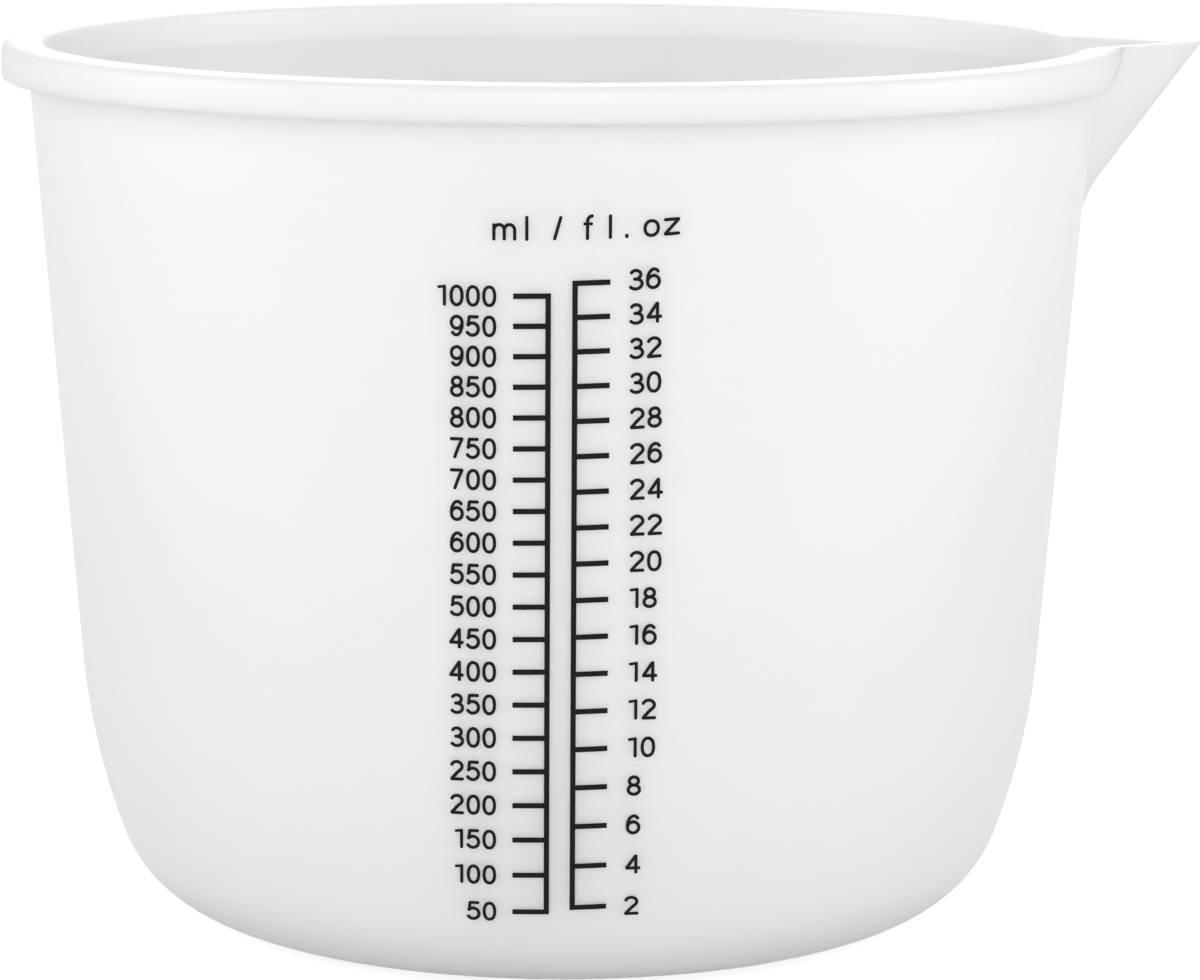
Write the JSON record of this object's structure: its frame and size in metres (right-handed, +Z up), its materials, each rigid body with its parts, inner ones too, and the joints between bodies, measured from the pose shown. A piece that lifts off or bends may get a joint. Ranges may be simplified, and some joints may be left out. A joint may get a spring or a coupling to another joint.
{
  "type": "resin mixing cup",
  "caption": "Soft white silicone mixing cup with a tapered round body, rounded heel, thick rim bead, V-shaped pouring spout and a printed millilitre and fluid-ounce scale.",
  "frame": {"origin": "centre of the base's underside, on the cup's axis", "axes": "+Z up along the cup's axis, +X out through the pouring spout, the printed scale faces -Y"},
  "size_m": [0.1587, 0.148, 0.116],
  "materials": {
    "moulded_silicone": "matte translucent white silicone, straight from a fine-blasted mould",
    "screen_print_ink": "matte charcoal silicone screen-print ink, a thin film on the wall"
  },
  "bodies": {
    "root": {"cup_body": "moulded_silicone", "ml_scale_print": "screen_print_ink", "floz_scale_print": "screen_print_ink"}
  },
  "joints": []
}
